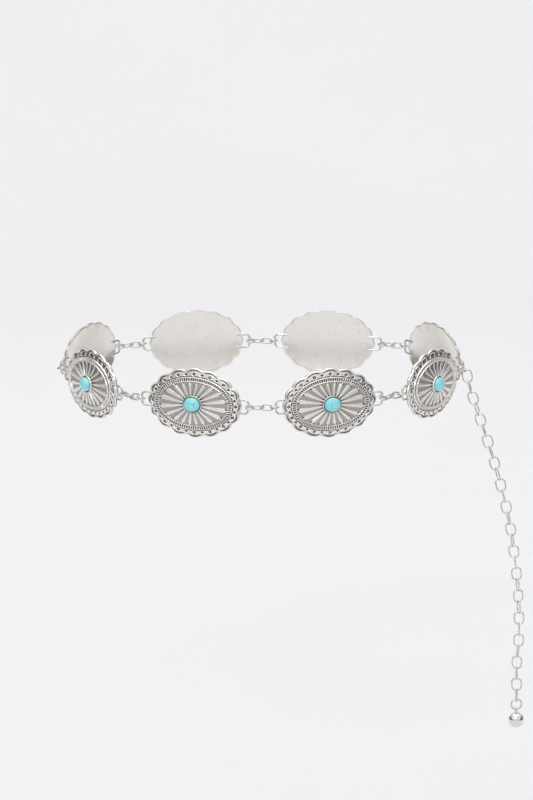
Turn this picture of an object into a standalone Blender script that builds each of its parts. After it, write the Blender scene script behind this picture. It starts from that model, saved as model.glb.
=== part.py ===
"""Concho chain belt: oval scalloped conchos set with oval stones, joined by rings and links
into a waist loop, closed by a wire hook in a long extender chain that ends in a ball.

Units are metres, +Z is up, the front faces -Y and the origin is the middle of the waist
loop, at the conchos' mid height. In a concho's own frame +X runs along the belt, +Z is
up and -Y is outward, so a height above the plate is a negative y.
"""

import math

import bmesh
import bpy
from mathutils import Matrix, Vector

MM = 0.001
FULL_TURN = 2 * math.pi

# Waist loop
CONCHO_COUNT = 8
WAIST_HALF_WIDTH = 123.0 * MM
WAIST_SWAY = 24.0 * MM
CLEARANCE = 0.3 * MM

# Concho plate
CONCHO_LENGTH = 59.0 * MM
CONCHO_HEIGHT = 42.0 * MM
LOBES = 16
LOBE_DEPTH = 1.15 * MM
EDGE_THICKNESS = 1.3 * MM
PLATE_WALL = 1.5 * MM
PLATE_RISE = 3.4 * MM
BAND_OUTER_INSET = 5.3 * MM
BAND_WIDTH = 2.3 * MM
BAND_RIDGE = 0.7 * MM
BAND_VALLEY = 0.1 * MM
FIELD_MARGIN = 0.6 * MM
RAYS = 20
RAY_RELIEF = 0.7 * MM
RAY_END_GAP = 1.3 * MM

# Stone and bezel
STONE_LENGTH = 10.0 * MM
STONE_HEIGHT = 8.5 * MM
STONE_GIRDLE = 1.3 * MM
STONE_DOME = 2.7 * MM
BEZEL_WALL = 0.8 * MM
BEZEL_RISE = 1.2 * MM

# Wire loops soldered behind the concho's ends
END_LOOP_WIRE = 1.3 * MM
END_LOOP_REACH = 4.7 * MM
END_LOOP_HEIGHT = 9.4 * MM
END_LOOP_SEAT = 4.0 * MM
END_LOOP_SINK = 0.45 * MM

# Connector between two conchos
RING_WIRE = 1.2 * MM
RING_INNER = 3.4 * MM
LINK_WIRE = 1.2 * MM
LINK_INNER_LENGTH = 6.0 * MM
LINK_INNER_WIDTH = 2.5 * MM
RING_ROLL = math.radians(20)
LINK_ROLL = math.radians(45)

# Hook clasp
HOOK_WIRE = 1.2 * MM
HOOK_EYE_INNER = 2.4 * MM
HOOK_BEND_INNER = 2.4 * MM
HOOK_POINT = 2.8 * MM
HOOK_ROLL = math.radians(-30)
CLASP_RING_ROLL = math.radians(30)

# Extender chain
CHAIN_WIRE = 0.88 * MM
CHAIN_INNER_LENGTH = 6.9 * MM
CHAIN_INNER_WIDTH = 4.9 * MM
CHAIN_LINKS = 30
CHAIN_FUSE = 0.25 * MM
CATCH_LINK_ROLL = math.radians(45)
CHAIN_TWIST = math.radians(16)
CHAIN_TWIST_STEP = 0.55

# End ring and ball
END_RING_WIRE = 1.0 * MM
END_RING_INNER = 5.6 * MM
BALL_DIAMETER = 9.8 * MM
BAIL_WIRE = 0.9 * MM
BAIL_INNER = 2.4 * MM

# The extender chain's hanging line, from where it leaves the catch link: outward, back, down
CHAIN_ROUTE = (
    (0.0 * MM, 0.0 * MM, 0.0 * MM),
    (3.0 * MM, 0.0 * MM, 12.4 * MM),
    (7.6 * MM, -0.5 * MM, 25.9 * MM),
    (18.9 * MM, -1.5 * MM, 60.4 * MM),
    (27.7 * MM, -2.5 * MM, 94.7 * MM),
    (32.7 * MM, -3.0 * MM, 128.4 * MM),
    (34.4 * MM, -3.0 * MM, 150.0 * MM),
    (34.8 * MM, -3.0 * MM, 168.0 * MM),
    (33.6 * MM, -3.0 * MM, 187.0 * MM),
    (33.9 * MM, -3.0 * MM, 204.0 * MM),
)

# Mesh fineness
OUTLINE_STEPS = LOBES * 4
BAND_STEPS = 28
RAY_STEPS = RAYS * 2
BEZEL_STEPS = 12
BACK_STEPS = 12
STONE_STEPS = 12
LOOP_BEND_STEPS = 4
RING_STEPS = 8
WIRE_SIDES = 5
BALL_STEPS = 14
BALL_RINGS = 7

# Worked out from the values above
LINK_LENGTH = LINK_INNER_LENGTH + LINK_WIRE
LINK_WIDTH = LINK_INNER_WIDTH + LINK_WIRE
RING_DIAMETER = RING_INNER + RING_WIRE
CHAIN_LENGTH = CHAIN_INNER_LENGTH + CHAIN_WIRE
CHAIN_WIDTH = CHAIN_INNER_WIDTH + CHAIN_WIRE
CHAIN_PITCH = CHAIN_LENGTH - CHAIN_WIRE + CHAIN_FUSE
END_LOOP_BAR = CONCHO_LENGTH / 2 + END_LOOP_REACH - END_LOOP_WIRE / 2
END_LOOP_LEVEL = END_LOOP_WIRE / 2 - END_LOOP_SINK
LONG_CHORD = 2 * END_LOOP_BAR


def held_gap(wire_a, wire_b):
    """Distance between the middles of two wires that hold each other."""
    return wire_a / 2 + wire_b / 2 + CLEARANCE


BAR_TO_RING = held_gap(END_LOOP_WIRE, RING_WIRE)
RING_TO_LINK = held_gap(RING_WIRE, LINK_WIRE)
LINK_TO_LINK = held_gap(LINK_WIRE, LINK_WIRE)
RING_FAR = RING_DIAMETER - BAR_TO_RING
LINK_NEAR = RING_FAR - RING_TO_LINK
SHORT_CHORD = 2 * (LINK_NEAR + LINK_LENGTH) - LINK_TO_LINK


def new_material(name, colour, roughness, metallic):
    material = bpy.data.materials.new(name)
    material.use_nodes = True
    shader = material.node_tree.nodes["Principled BSDF"]
    shader.inputs["Base Color"].default_value = (*colour, 1.0)
    shader.inputs["Roughness"].default_value = roughness
    shader.inputs["Metallic"].default_value = metallic
    return material


def new_object(name, mesh, material, location=(0, 0, 0), rotation=(0, 0, 0), parent=None):
    piece = bpy.data.objects.new(name, mesh)
    piece.location = location
    piece.rotation_euler = rotation
    piece.parent = parent
    if not mesh.materials:
        mesh.materials.append(material)
    bpy.context.scene.collection.objects.link(piece)
    return piece


def finished_mesh(name, build):
    """A mesh from a bmesh, faces outward and shaded smooth apart from its sharp edges."""
    bmesh.ops.recalc_face_normals(build, faces=build.faces)
    mesh = bpy.data.meshes.new(name)
    build.to_mesh(mesh)
    build.free()
    mesh.shade_smooth()
    mesh.set_sharp_from_angle(angle=math.radians(40))
    return mesh


def joined_solid(name, first, second):
    """The Boolean union of two meshes."""
    body = bpy.data.objects.new(name, first)
    tool = bpy.data.objects.new(name + "_tool", second)
    for helper in (body, tool):
        bpy.context.scene.collection.objects.link(helper)
    union = body.modifiers.new("Union", "BOOLEAN")
    union.operation = "UNION"
    union.object = tool
    graph = bpy.context.evaluated_depsgraph_get()
    mesh = bpy.data.meshes.new_from_object(body.evaluated_get(graph))
    mesh.name = name
    for helper in (body, tool):
        bpy.data.objects.remove(helper)
    mesh.shade_smooth()
    mesh.set_sharp_from_angle(angle=math.radians(40))
    return mesh


def sweep(build, path, normal, wire, sides=WIRE_SIDES, closed=True):
    """A round wire along a flat path; normal is the path's plane."""
    count = len(path)
    rings = []
    for i, point in enumerate(path):
        before = path[i - 1] if closed or i else point
        after = path[(i + 1) % count] if closed or i < count - 1 else point
        tangent = (after - before).normalized()
        across = tangent.cross(normal).normalized()
        ring = []
        for j in range(sides):
            angle = FULL_TURN * j / sides
            offset = across * math.cos(angle) + normal * math.sin(angle)
            ring.append(build.verts.new(point + offset * wire / 2))
        rings.append(ring)
    for i in range(count if closed else count - 1):
        a = rings[i]
        b = rings[(i + 1) % count]
        for j in range(sides):
            k = (j + 1) % sides
            build.faces.new((a[j], a[k], b[k], b[j]))
    if not closed:
        build.faces.new(rings[0])
        build.faces.new(rings[-1])


def stadium_path(length, width, matrix=Matrix.Identity(4)):
    """A link's middle line: its near end at x = 0, its far end at x = length."""
    bend = width / 2
    points = []
    for centre_x, start in ((length - bend, -math.pi / 2), (bend, math.pi / 2)):
        for k in range(LOOP_BEND_STEPS + 1):
            angle = start + math.pi * k / LOOP_BEND_STEPS
            points.append(Vector((centre_x + bend * math.cos(angle), bend * math.sin(angle), 0)))
    return [matrix @ point for point in points]


def ring_path(diameter, centre=Vector()):
    """A round ring's middle line in the XY plane."""
    points = []
    for k in range(RING_STEPS):
        angle = FULL_TURN * k / RING_STEPS
        points.append(centre + Vector((math.cos(angle), math.sin(angle), 0)) * diameter / 2)
    return points


def wire_mesh(name, path, wire):
    build = bmesh.new()
    sweep(build, path, Vector((0, 0, 1)), wire)
    return finished_mesh(name, build)


def oval_ring(build, half_length, half_height, level, steps):
    """Points round an oval, all at one height above the plate's back edge."""
    ring = []
    for k in range(steps):
        angle = FULL_TURN * k / steps
        x = half_length * math.cos(angle)
        z = half_height * math.sin(angle)
        ring.append(build.verts.new((x, END_LOOP_LEVEL - level, z)))
    return ring


def fan_points(half_length, half_height, steps):
    """Points round an oval from its +X end, spaced between evenly by length and by angle."""
    fine = 40 * steps
    curve = []
    for k in range(fine + 1):
        angle = FULL_TURN * k / fine
        curve.append(Vector((half_length * math.cos(angle), half_height * math.sin(angle))))
    perimeter = sum((after - before).length for before, after in zip(curve, curve[1:]))
    points = []
    travelled = 0
    for before, after in zip(curve, curve[1:]):
        share = ((after - before).length / perimeter + before.angle(after) / FULL_TURN) / 2
        if travelled >= len(points) / steps - share / 2 and len(points) < steps:
            points.append(before)
        travelled += share
    return points


def ray_rings(build, end_length, end_height, start_length, start_height):
    """The rays' outer and inner rings: every other point stands up as a ray's crest."""
    outer = []
    inner = []
    end_level = plate_level(CONCHO_HEIGHT / 2 - end_height)
    for k, end in enumerate(fan_points(end_length, end_height, RAY_STEPS)):
        relief = RAY_RELIEF * (k % 2)
        outer.append(build.verts.new((end.x, END_LOOP_LEVEL - end_level - relief, end.y)))
        share = 1 / math.hypot(end.x / start_length, end.y / start_height)
        start = end * share
        inner.append(build.verts.new((start.x, END_LOOP_LEVEL - SEAT_LEVEL - relief, start.y)))
    return outer, inner


def stitch(build, outer, inner):
    """Faces between two rings whose points both start at angle 0, of any two counts."""
    outs, ins = len(outer), len(inner)
    if outs == ins:
        for k in range(outs):
            n = (k + 1) % outs
            build.faces.new((outer[k], outer[n], inner[n], inner[k]))
        return
    i = j = 0
    while i < outs or j < ins:
        if j == ins or (i < outs and (i + 1) / outs <= (j + 1) / ins):
            build.faces.new((outer[i % outs], outer[(i + 1) % outs], inner[j % ins]))
            i += 1
        else:
            build.faces.new((outer[i % outs], inner[(j + 1) % ins], inner[j % ins]))
            j += 1


def lobe_inset(angle):
    """How far the scalloped outline lies inside its lobe tips."""
    return LOBE_DEPTH * (1 - abs(math.cos(LOBES / 2 * angle)))


def outline_ring(build, level):
    ring = []
    for k in range(OUTLINE_STEPS):
        angle = FULL_TURN * k / OUTLINE_STEPS
        inset = lobe_inset(angle)
        x = (CONCHO_LENGTH / 2 - inset) * math.cos(angle)
        z = (CONCHO_HEIGHT / 2 - inset) * math.sin(angle)
        ring.append(build.verts.new((x, END_LOOP_LEVEL - level, z)))
    return ring


def plate_level(inset):
    """Height of the domed plate's front above its back edge, at this distance from the edge."""
    share = min(inset / (CONCHO_HEIGHT / 2), 1)
    return EDGE_THICKNESS + PLATE_RISE * math.sin(share * math.pi / 2)


SEAT_HALF_LENGTH = STONE_LENGTH / 2 + CLEARANCE
SEAT_HALF_HEIGHT = STONE_HEIGHT / 2 + CLEARANCE
BEZEL_INSET = CONCHO_HEIGHT / 2 - SEAT_HALF_HEIGHT - BEZEL_WALL
SEAT_LEVEL = plate_level(BEZEL_INSET)
BEZEL_TOP = SEAT_LEVEL + BEZEL_RISE


def concho_plate():
    """The dished plate with its raised bands, rays and bezel, without the wire loops."""
    build = bmesh.new()
    half_length = CONCHO_LENGTH / 2
    half_height = CONCHO_HEIGHT / 2

    def oval(inset, level, steps=BAND_STEPS):
        return oval_ring(build, half_length - inset, half_height - inset, level, steps)

    band_inner = BAND_OUTER_INSET + BAND_WIDTH
    band_middle = BAND_OUTER_INSET + BAND_WIDTH / 2
    field_edge = band_inner + FIELD_MARGIN
    ray_end = band_inner + RAY_END_GAP
    bezel_length = SEAT_HALF_LENGTH + BEZEL_WALL
    bezel_height = SEAT_HALF_HEIGHT + BEZEL_WALL
    back_inset = half_height / 2
    ray_ends, ray_starts = ray_rings(
        build, half_length - ray_end, half_height - ray_end, bezel_length, bezel_height
    )
    rings = [
        outline_ring(build, 0),
        outline_ring(build, EDGE_THICKNESS),
        oval(BAND_OUTER_INSET - BAND_RIDGE, plate_level(BAND_OUTER_INSET - BAND_RIDGE)),
        oval(BAND_OUTER_INSET, plate_level(BAND_OUTER_INSET) + BAND_RIDGE),
        oval(band_middle, plate_level(band_middle) + BAND_VALLEY),
        oval(band_inner, plate_level(band_inner) + BAND_RIDGE),
        oval(field_edge, plate_level(field_edge)),
        ray_ends,
        ray_starts,
        oval_ring(build, bezel_length, bezel_height, BEZEL_TOP, BEZEL_STEPS),
        oval_ring(build, SEAT_HALF_LENGTH, SEAT_HALF_HEIGHT, BEZEL_TOP, BEZEL_STEPS),
        oval_ring(build, SEAT_HALF_LENGTH, SEAT_HALF_HEIGHT, SEAT_LEVEL, BEZEL_STEPS),
    ]
    for outer, inner in zip(rings, rings[1:]):
        stitch(build, outer, inner)
    build.faces.new(rings[-1])
    back = oval(back_inset, plate_level(back_inset) - PLATE_WALL, BACK_STEPS)
    stitch(build, rings[0], back)
    middle = build.verts.new((0, END_LOOP_LEVEL - SEAT_LEVEL + PLATE_WALL, 0))
    for k in range(BACK_STEPS):
        build.faces.new((back[k], back[(k + 1) % BACK_STEPS], middle))
    return finished_mesh("concho_plate", build)


def end_loops():
    """Both wire loops: two legs under the plate and a rounded bar beyond its end."""
    build = bmesh.new()
    half_height = (END_LOOP_HEIGHT - END_LOOP_WIRE) / 2
    corner = half_height * 0.55
    start = CONCHO_LENGTH / 2 - END_LOOP_SEAT
    for side in (1, -1):
        half = [
            Vector((start, 0, half_height)),
            Vector((END_LOOP_BAR - corner * 1.1, 0, half_height)),
            Vector((END_LOOP_BAR - corner * 0.3, 0, half_height - corner * 0.35)),
            Vector((END_LOOP_BAR, 0, half_height - corner * 1.1)),
        ]
        path = half + [Vector((point.x, 0, -point.z)) for point in reversed(half)]
        path = [Vector((side * point.x, 0, point.z)) for point in path]
        sweep(build, path, Vector((0, 1, 0)), END_LOOP_WIRE, closed=False)
    return finished_mesh("end_loops", build)


def stone_mesh():
    """An oval cabochon: flat base, low girdle wall, domed top."""
    build = bmesh.new()
    base = SEAT_LEVEL + CLEARANCE
    half_length = STONE_LENGTH / 2
    half_height = STONE_HEIGHT / 2
    rings = []
    for share, rise in ((1, 0), (1, STONE_GIRDLE), (0.80, 0), (0.45, 0)):
        level = base + rise
        if share < 1:
            level = base + STONE_GIRDLE + STONE_DOME * math.sqrt(1 - share**2)
        ring = oval_ring(build, half_length * share, half_height * share, level, STONE_STEPS)
        rings.append(ring)
    build.faces.new(rings[0])
    for outer, inner in zip(rings, rings[1:]):
        stitch(build, outer, inner)
    top = build.verts.new((0, END_LOOP_LEVEL - base - STONE_GIRDLE - STONE_DOME, 0))
    for k in range(STONE_STEPS):
        build.faces.new((rings[-1][k], rings[-1][(k + 1) % STONE_STEPS], top))
    return finished_mesh("stone", build)


def waist_point(angle, half_depth):
    """The waist curve; angle 0 is the front and a quarter turn is the +X side."""
    sway = WAIST_SWAY * math.sin(angle) ** 2
    x = WAIST_HALF_WIDTH * math.sin(angle)
    return Vector((x, sway - half_depth * math.cos(angle), 0))


def chord_end(angle, half_depth, chord):
    """The angle at which a chord of this length ends on the waist curve."""
    start = waist_point(angle, half_depth)
    low, high = angle, angle + math.pi / 2
    for _ in range(50):
        middle = (low + high) / 2
        if (waist_point(middle, half_depth) - start).length < chord:
            low = middle
        else:
            high = middle
    return low


def half_loop(half_depth):
    """The end-loop bars from the front middle round to the back, on one side."""
    angle = math.asin(SHORT_CHORD / 2 / WAIST_HALF_WIDTH)
    bars = [waist_point(angle, half_depth)]
    for k in range(CONCHO_COUNT // 2):
        angle = chord_end(angle, half_depth, LONG_CHORD)
        bars.append(waist_point(angle, half_depth))
        if k < CONCHO_COUNT // 2 - 1:
            angle = chord_end(angle, half_depth, SHORT_CHORD)
            bars.append(waist_point(angle, half_depth))
    return bars


def closed_half_loop():
    """The waist depth is found so that the last bar stands half a connector from the back."""
    low, high = WAIST_HALF_WIDTH * 0.3, WAIST_HALF_WIDTH * 1.6
    for _ in range(50):
        half_depth = (low + high) / 2
        last = half_loop(half_depth)[-1]
        if last.x > SHORT_CHORD / 2 or last.y < 0:
            high = half_depth
        else:
            low = half_depth
    return half_loop(half_depth)


def belt_seats():
    """(start, end) bars of each concho in belt order, from the hook's end to the chain's.

    The start bar is the one nearer the hook. The closure lies on the +X side, between the
    second and the third concho from the front.
    """
    bars = closed_half_loop()
    right = [(bars[2 * k], bars[2 * k + 1]) for k in range(CONCHO_COUNT // 2)]
    left = [(mirrored(front), mirrored(back)) for front, back in right]
    before_closure = CONCHO_COUNT // 4
    seats = [(back, front) for front, back in reversed(right[:before_closure])]
    seats += left
    seats += [(back, front) for front, back in reversed(right[before_closure:])]
    return seats


def mirrored(point):
    return Vector((-point.x, point.y, point.z))


def yaw_of(direction):
    return math.atan2(direction.y, direction.x)


def place_along(name, mesh, material, start, direction, distance, roll, parent):
    """A link or ring whose near end's wire lies this far along the way from start."""
    location = start + direction * distance
    return new_object(name, mesh, material, location, (roll, 0, yaw_of(direction)), parent)


def hook_mesh():
    """One bent wire: an eye, a straight shank and a round bend whose point turns back."""
    eye = (HOOK_EYE_INNER + HOOK_WIRE) / 2
    bend = (HOOK_BEND_INNER + HOOK_WIRE) / 2
    path = []
    gap_angle = 2 * math.asin((HOOK_WIRE + CLEARANCE) / 2 / eye)
    turn = FULL_TURN - gap_angle
    eye_steps = 9
    for k in range(eye_steps + 1):
        angle = -math.pi / 2 + gap_angle + turn * k / eye_steps
        path.append(Vector((eye + eye * math.cos(angle), eye * math.sin(angle), 0)))
    shank_y = -eye
    bend_centre = Vector((HOOK_LENGTH - bend, shank_y + bend, 0))
    bend_steps = 6
    for k in range(bend_steps + 1):
        angle = -math.pi / 2 + math.pi * k / bend_steps
        path.append(bend_centre + Vector((math.cos(angle), math.sin(angle), 0)) * bend)
    path.append(path[-1] + Vector((-HOOK_POINT, HOOK_POINT * 0.35, 0)))
    build = bmesh.new()
    sweep(build, path, Vector((0, 0, 1)), HOOK_WIRE, closed=False)
    return finished_mesh("hook", build)


HOOK_NEAR = RING_FAR - held_gap(RING_WIRE, HOOK_WIRE)
CATCH_FAR = SHORT_CHORD + held_gap(END_LOOP_WIRE, CHAIN_WIRE)
CATCH_NEAR = CATCH_FAR - CHAIN_LENGTH
HOOK_FAR = CATCH_NEAR + held_gap(HOOK_WIRE, CHAIN_WIRE)
HOOK_LENGTH = HOOK_FAR - HOOK_NEAR


def smooth_route(points, steps=24):
    """A Catmull-Rom curve through the points, as many short straight runs."""
    curve = []
    padded = [points[0] * 2 - points[1], *points, points[-1] * 2 - points[-2]]
    for a, b, c, d in zip(padded, padded[1:], padded[2:], padded[3:]):
        for k in range(steps):
            t = k / steps
            bend = (2 * b + (c - a) * t + (2 * a - 5 * b + 4 * c - d) * t**2
                    + (3 * b - a - 3 * c + d) * t**3)
            curve.append(bend / 2)
    curve.append(points[-1])
    return curve


def walk(curve, pitch, count):
    """Points a straight pitch apart along a curve, and on in its last direction."""
    points = [curve[0]]
    index = 1
    while len(points) < count:
        last = points[-1]
        while index < len(curve) and (curve[index] - last).length < pitch:
            index += 1
        if index == len(curve):
            ahead = Vector((0, 0, -1))
        else:
            ahead = (curve[index] - last).normalized()
        points.append(last + ahead * pitch)
    return points


def hanging_frame(near, direction, roll):
    """A link's frame: +X down its length, its flat side turned by roll from the front."""
    side = direction.cross(Vector((0, -1, 0))).normalized()
    face = side.cross(direction).normalized()
    axes = Matrix((direction, side, -face)).transposed().to_4x4()
    return Matrix.Translation(near) @ axes @ Matrix.Rotation(roll, 4, "X")


def chain_roll(k):
    return math.pi / 2 * (k % 2) + CHAIN_TWIST * math.sin(CHAIN_TWIST_STEP * k)


def extender_chain(start, direction):
    """The catch link and the hanging links, fused; also the last link's near end and way."""
    roll = Matrix.Rotation(CATCH_LINK_ROLL, 4, "X")
    turn = Matrix.Rotation(yaw_of(direction), 4, "Z")
    catch = Matrix.Translation(start + direction * CATCH_NEAR) @ turn @ roll
    sides = [catch @ Vector((CHAIN_LENGTH / 2, y, 0)) for y in (-CHAIN_WIDTH / 2, CHAIN_WIDTH / 2)]
    lower_side = min(sides, key=lambda point: point.z)
    hang = lower_side + Vector((0, 0, CHAIN_WIRE - CHAIN_FUSE))
    route = [hang + Vector((out, back, -down)) for out, back, down in CHAIN_ROUTE]
    joints = walk(smooth_route(route), CHAIN_PITCH, CHAIN_LINKS + 1)
    frames = [catch]
    for k, (near, far) in enumerate(zip(joints, joints[1:])):
        frames.append(hanging_frame(near, (far - near).normalized(), chain_roll(k)))
    halves = []
    for parity in (0, 1):
        build = bmesh.new()
        for frame in frames[parity::2]:
            normal = frame.to_3x3() @ Vector((0, 0, 1))
            sweep(build, stadium_path(CHAIN_LENGTH, CHAIN_WIDTH, frame), normal, CHAIN_WIRE)
        halves.append(finished_mesh("chain_half", build))
    mesh = joined_solid("extender_chain", *halves)
    return mesh, joints[-2], (joints[-1] - joints[-2]).normalized()


def ball_drop_mesh():
    """The ball under its soldered bail; the origin is the middle of the bail's top wire."""
    bail = BAIL_INNER + BAIL_WIRE
    bail_build = bmesh.new()
    sweep(bail_build, ring_path(bail, Vector((bail / 2, 0, 0))), Vector((0, 0, 1)), BAIL_WIRE)
    ball_build = bmesh.new()
    reach = bail + BALL_DIAMETER / 2 - BAIL_WIRE / 4
    bmesh.ops.create_uvsphere(
        ball_build,
        u_segments=BALL_STEPS,
        v_segments=BALL_RINGS,
        radius=BALL_DIAMETER / 2,
        matrix=Matrix.Translation((reach, 0, 0)) @ Matrix.Rotation(math.pi / 2, 4, "Y"),
    )
    ball = finished_mesh("ball", ball_build)
    return joined_solid("ball_drop", ball, finished_mesh("bail", bail_build))


def build_belt():
    for stale in list(bpy.data.objects):
        bpy.data.objects.remove(stale)
    silver = new_material("oxidised_silver", (0.58, 0.56, 0.53), 0.34, 1.0)
    bright = new_material("bright_silver", (0.72, 0.71, 0.69), 0.22, 1.0)
    turquoise = new_material("turquoise", (0.17, 0.66, 0.68), 0.3, 0.0)
    belt = bpy.data.objects.new("belt", None)
    bpy.context.scene.collection.objects.link(belt)

    concho = joined_solid("concho", concho_plate(), end_loops())
    stone = stone_mesh()
    ring = wire_mesh("ring", ring_path(RING_DIAMETER, Vector((RING_DIAMETER / 2, 0, 0))), RING_WIRE)
    link = wire_mesh("link", stadium_path(LINK_LENGTH, LINK_WIDTH), LINK_WIRE)

    seats = belt_seats()
    for number, (start, end) in enumerate(seats, 1):
        middle = (start + end) / 2
        yaw = yaw_of(start - end)
        new_object(f"concho_{number}", concho, silver, middle, (0, 0, yaw), belt)
        new_object(f"stone_{number}", stone, turquoise, middle, (0, 0, yaw), belt)

    for number, (here, there) in enumerate(zip(seats, seats[1:]), 1):
        start, end = here[1], there[0]
        way = (end - start).normalized()
        for letter, origin, direction in (("a", start, way), ("b", end, -way)):
            place_along(f"ring_{number}{letter}", ring, bright, origin, direction,
                        -BAR_TO_RING, RING_ROLL, belt)
            place_along(f"link_{number}{letter}", link, bright, origin, direction,
                        LINK_NEAR, -LINK_ROLL, belt)

    start, end = seats[0][0], seats[-1][1]
    way = (end - start).normalized()
    place_along("clasp_ring", ring, bright, start, way, -BAR_TO_RING, CLASP_RING_ROLL, belt)
    place_along("hook_clasp", hook_mesh(), bright, start, way, HOOK_NEAR, HOOK_ROLL, belt)

    chain, last_near, last_way = extender_chain(start, way)
    new_object("extender_chain", chain, bright, parent=belt)

    ring_reach = CHAIN_LENGTH - held_gap(CHAIN_WIRE, END_RING_WIRE)
    end_near = last_near + last_way * ring_reach
    end_diameter = END_RING_INNER + END_RING_WIRE
    end_centre = Vector((end_diameter / 2, 0, 0))
    end_mesh = wire_mesh("end_ring", ring_path(end_diameter, end_centre), END_RING_WIRE)
    end_ring = new_object("end_ring", end_mesh, bright, parent=belt)
    end_ring.matrix_basis = hanging_frame(end_near, last_way, chain_roll(CHAIN_LINKS))
    ball_near = end_near + last_way * (end_diameter - held_gap(END_RING_WIRE, BAIL_WIRE))
    ball = new_object("ball_drop", ball_drop_mesh(), bright, parent=belt)
    ball.matrix_basis = hanging_frame(ball_near, last_way, chain_roll(CHAIN_LINKS + 1))


build_belt()
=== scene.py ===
"""Looks of the concho chain belt: detailed conchos, stones, wire pieces and chain in place of
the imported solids, their procedural finishes, and a plain pale studio."""

import math

import bpy
import numpy as np
from mathutils import Matrix, Vector


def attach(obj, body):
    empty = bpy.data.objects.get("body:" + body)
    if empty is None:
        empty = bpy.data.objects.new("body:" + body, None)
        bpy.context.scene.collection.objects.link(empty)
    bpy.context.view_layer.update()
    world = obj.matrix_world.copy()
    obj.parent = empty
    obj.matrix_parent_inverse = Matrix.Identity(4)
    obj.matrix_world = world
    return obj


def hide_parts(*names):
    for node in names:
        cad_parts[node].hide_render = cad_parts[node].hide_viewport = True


MM = 0.001
FULL_TURN = 2 * math.pi
UP = Vector((0, 0, 1))

# Camera, in the photograph's pixels where named so
FRAME_WIDTH_PX = 533
FRAME_HEIGHT_PX = 800
BELT_CENTRE_PX = (262.2, 372.8)
METRES_PER_PX = 0.000606
CAMERA_DISTANCE = 2.3
CAMERA_ELEVATION = math.radians(13.4)
SENSOR_WIDTH_MM = 36.0

# Concho relief in millimetres; an inset is measured in from the lobe tips
LOBES = 16
LOBE_DEPTH = 1.15
LOBE_FADE = 4.3
EDGE_THICKNESS = 1.3
PLATE_WALL = 1.5
PLATE_RISE = 3.4
RIM_BEAD_INSET = 0.52
RIM_BEAD_WIDTH = 0.28
RIM_BEAD_HEIGHT = 0.34
CRESCENT_INSET = 1.30
CRESCENT_SAG = 0.95
CRESCENT_REACH = 0.84
CRESCENT_HALF_WIDTH = 0.62
CRESCENT_DEPTH = 0.75
CRESCENT_ROPE = 1.35
CRESCENT_ROPE_SLANT = 0.62
CRESCENT_STRAND = 0.58
DOT_INSET = 3.45
DOT_RADIUS = 0.86
DOT_DEPTH = 0.80
PIT_EDGE = 1.35
DIMPLE_RADIUS = 0.90
DIMPLE_PIP_RADIUS = 0.36
DIMPLE_PIP_HEIGHT = 0.62
DIMPLE_LIP_RADIUS = 1.30
DIMPLE_LIP_HEIGHT = 0.16
DIMPLE_LIP_WIDTH = 0.22
GROOVE_INSET = 4.82
GROOVE_WIDTH = 0.20
GROOVE_DEPTH = 0.34
BAND_OUTER_INSET = 5.35
BAND_INNER_INSET = 7.65
BAND_RIDGE_WIDTH = 0.55
BAND_RIDGE_HEIGHT = 0.66
BAND_FOOT = 0.45
BAND_VALLEY = 0.42
BEAD_COUNT = 86
BEAD_HEIGHT = 0.70
BEAD_EDGE = 0.25
FIELD_INSET = 8.2
FIELD_LEAD = 0.35
FIELD_FADE = 0.4
FIELD_DROP = 0.18
RAYS = 20
RAY_HEIGHT = 0.66
RAY_START_HALF_WIDTH = 0.62
RAY_START_WIDENING = 0.06
RAY_END_HALF_WIDTH = 1.08
RAY_END_WIDENING = 0.46
RAY_END_GAP = 1.15
RAY_SHOULDER = 0.34
RAY_HOLLOW = 0.14
RAY_CORNER = 0.7
SEAT_HALF_LENGTH = 5.3
SEAT_HALF_HEIGHT = 4.55
BEZEL_WALL = 0.8
BEZEL_RISE = 1.2
FINE_STEPS = 800
PLAIN_STEPS = 400
BACK_INSETS = (16.0, 11.0, 7.0, 4.0, 2.4)
# Inset, level and wear of the edge's rings, from the back round to the front
EDGE_RINGS = (
    (0.30, 0.0, -0.1),
    (0.06, 0.18, -0.24),
    (0.0, 0.62, -0.26),
    (0.05, 1.02, -0.16),
    (0.20, 1.30, 0.2),
)

# How wear is judged: distances to compare over, strength, and its loss on the field; then the depth and
# width of the painted shade along the bezel's foot
WEAR_REACHES = (0.35, 0.8)
WEAR_STRENGTH = 4.0
WEAR_FIELD_LOSS = 2.2
BEZEL_FOOT_SHADE = 0.5
BEZEL_FOOT_SHADE_WIDTH = 0.22

# Stone in millimetres
STONE_HALF_LENGTH = 5.08
STONE_HALF_HEIGHT = 4.33
STONE_GIRDLE = 1.3
STONE_DOME = 2.7
STONE_LIFT = 0.3
STONE_STEPS = 72

# Wire pieces in millimetres
CLEARANCE = 0.3
END_LOOP_WIRE = 1.3
END_LOOP_REACH = 4.7
END_LOOP_HEIGHT = 9.4
END_LOOP_SEAT = 4.0
END_LOOP_LEVEL = 0.2
RING_WIRE = 1.2
RING_INNER = 3.4
LINK_WIRE = 1.2
LINK_INNER_LENGTH = 6.0
LINK_INNER_WIDTH = 2.5
RING_ROLL = math.radians(20)
LINK_ROLL = math.radians(-45)
HOOK_WIRE = 1.2
HOOK_EYE_INNER = 2.4
HOOK_BEND_INNER = 2.4
HOOK_POINT = 2.8
HOOK_ROLL = math.radians(-30)
CLASP_RING_ROLL = math.radians(30)
CHAIN_WIRE = 0.88
CHAIN_INNER_LENGTH = 6.9
CHAIN_INNER_WIDTH = 4.9
CHAIN_LINKS = 30
CHAIN_FUSE = 0.25
CATCH_LINK_ROLL = math.radians(45)
CHAIN_TWIST = math.radians(16)
CHAIN_TWIST_STEP = 0.55
END_RING_WIRE = 1.0
END_RING_INNER = 5.6
BALL_DIAMETER = 9.8
BAIL_WIRE = 0.9
BAIL_INNER = 2.4
WIRE_SIDES = 14
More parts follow.
